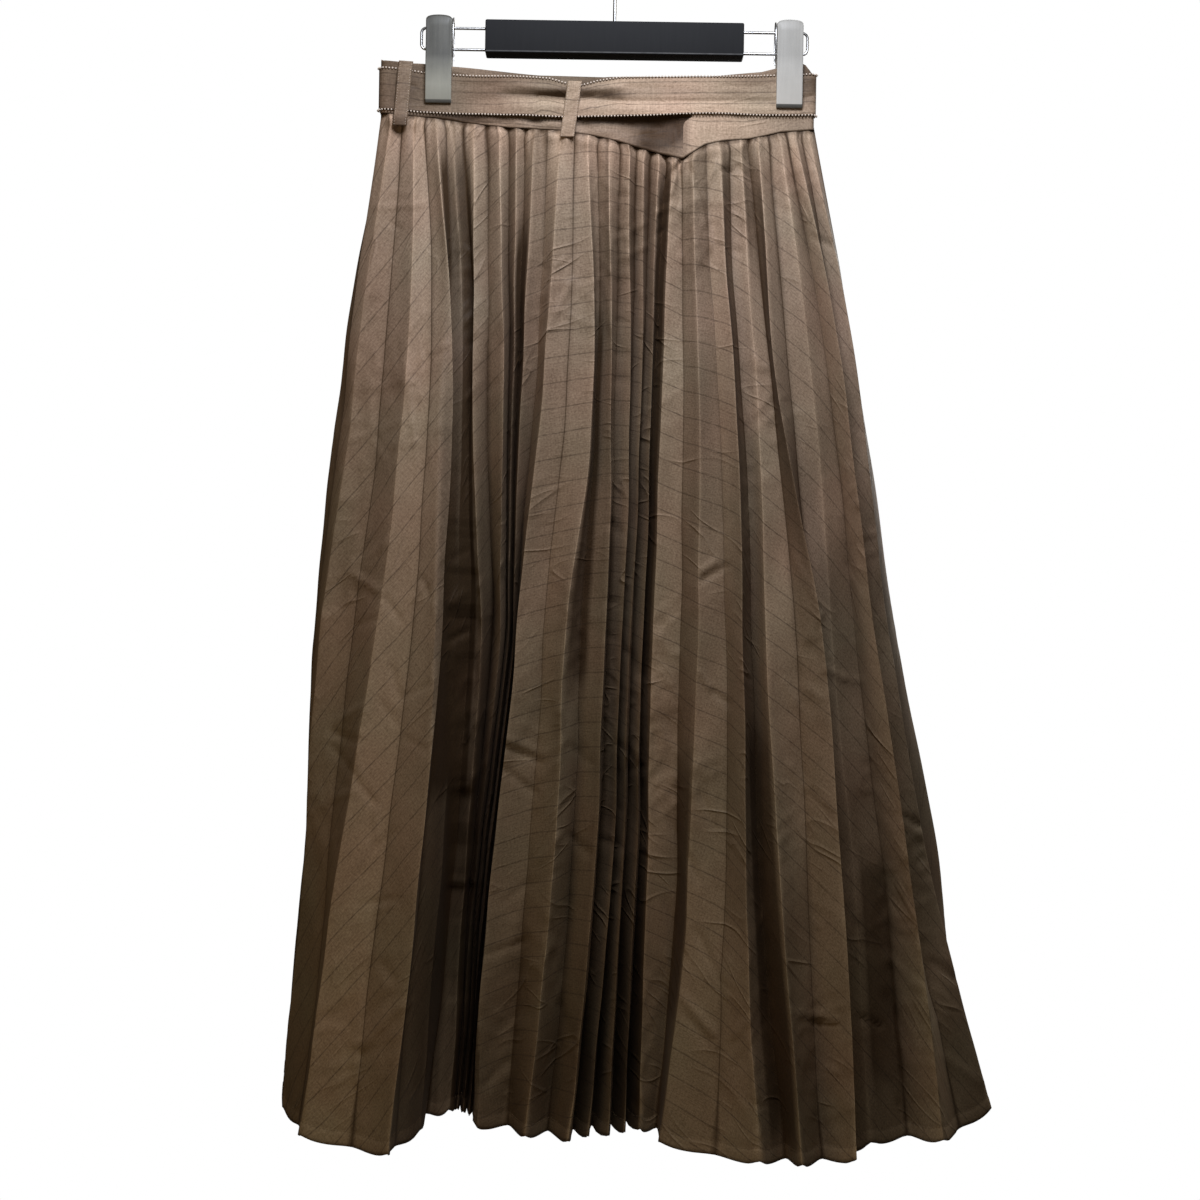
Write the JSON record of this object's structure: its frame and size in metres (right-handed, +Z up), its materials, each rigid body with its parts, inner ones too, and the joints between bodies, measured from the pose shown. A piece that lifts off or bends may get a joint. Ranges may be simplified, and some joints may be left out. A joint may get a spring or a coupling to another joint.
{
  "type": "pleated maxi skirt on clip hanger",
  "caption": "Long sunray-pleated skirt with a pointed, overlapping waistband and a sash belt in loops, clipped by its waist to a straight bar hanger.",
  "frame": {"origin": "inner top of the hanger's hook, where it rests on a rod", "axes": "+Z up, +X to the right as seen from the front, +Y from the skirt's front to its back"},
  "size_m": [0.596, 0.324, 0.9757],
  "materials": {
    "cloth": "matte",
    "bar": "satin",
    "steel": "polished",
    "clip": "satin"
  },
  "bodies": {
    "root": {"skirt_front": "cloth", "skirt_back": "cloth", "waistband_front_left": "cloth", "waistband_front_right": "cloth", "waistband_back": "cloth", "belt": "cloth", "belt_loop_left": "cloth", "belt_loop_centre": "cloth", "belt_loop_back": "cloth", "clip_left_front": "clip", "clip_left_back": "clip", "clip_left_slider": "clip", "clip_right_front": "clip", "clip_right_back": "clip", "clip_right_slider": "clip", "hanger_bar": "bar", "hook": "steel", "rail_left": "steel", "rail_right": "steel"}
  },
  "joints": []
}
